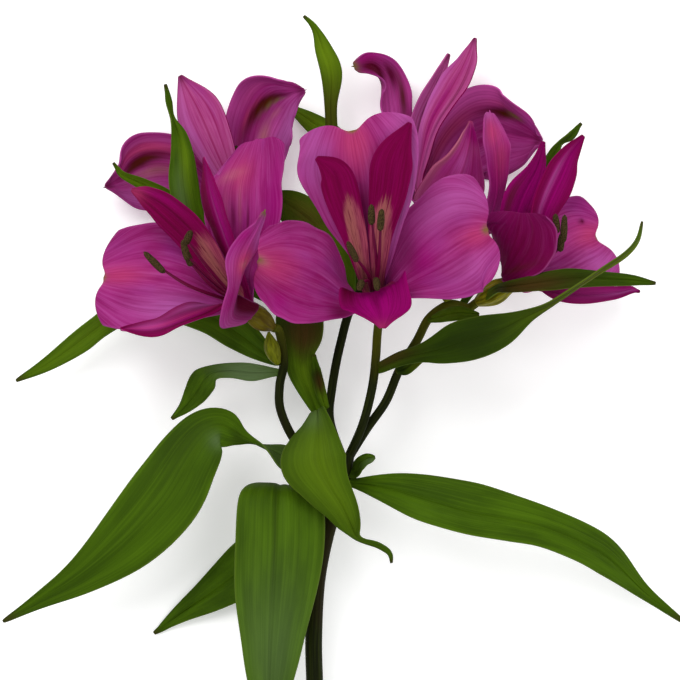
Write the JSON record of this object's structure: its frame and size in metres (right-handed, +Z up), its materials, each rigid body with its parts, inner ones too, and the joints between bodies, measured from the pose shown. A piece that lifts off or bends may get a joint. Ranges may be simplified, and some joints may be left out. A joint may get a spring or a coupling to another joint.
{
  "type": "alstroemeria stem",
  "caption": "Cut alstroemeria stem with open purple-magenta blooms, buds, bracts and a whorl of strap leaves, lying on its back on a flat surface.",
  "frame": {"origin": "the middle of the outline on the surface that the stem lies on", "axes": "+Y runs up the stem from the cut end to the blooms, +Z is up from the surface, +X is to the right seen from above with the blooms at the far end"},
  "size_m": [0.1862, 0.3712, 0.0608],
  "materials": {
    "stem": "smooth, dark green, slightly waxy",
    "ovary": "yellow-green, ribbed, slightly waxy",
    "outer_tepal": "purple-magenta, soft satin, finely veined",
    "inner_tepal": "crimson-magenta, soft satin, streaked and flecked",
    "stamen": "dark crimson threads with olive anthers, matt",
    "leaf": "mid green with parallel veins, satin",
    "bract": "mid green with parallel veins, satin",
    "bud": "yellow-green, slightly waxy"
  },
  "bodies": {
    "root": {"stem": "stem", "outer_tepals_front": "outer_tepal", "inner_tepals_front": "inner_tepal", "stamens_front": "stamen", "ovary_front": "ovary", "outer_tepals_left": "outer_tepal", "inner_tepals_left": "inner_tepal", "stamens_left": "stamen", "ovary_left": "ovary", "outer_tepals_upper_left": "outer_tepal", "inner_tepals_upper_left": "inner_tepal", "stamens_upper_left": "stamen", "ovary_upper_left": "ovary", "outer_tepals_upper_right": "outer_tepal", "inner_tepals_upper_right": "inner_tepal", "stamens_upper_right": "stamen", "ovary_upper_right": "ovary", "outer_tepals_right": "outer_tepal", "inner_tepals_right": "inner_tepal", "stamens_right": "stamen", "ovary_right": "ovary", "leaf_left": "leaf", "leaf_bottom": "leaf", "leaf_back": "leaf", "leaf_front": "leaf", "leaf_right": "leaf", "leaf_small": "leaf", "bract_far_left": "bract", "bract_curled": "bract", "bract_top": "bract", "bract_centre": "bract", "bract_upper": "bract", "bract_long": "bract", "bract_right": "bract", "bract_upper_left": "bract", "bract_side": "bract", "bract_rear": "bract", "bract_right_tip": "bract", "bract_pedicel": "bract", "bud_left": "bud", "bud_right": "bud"}
  },
  "joints": []
}
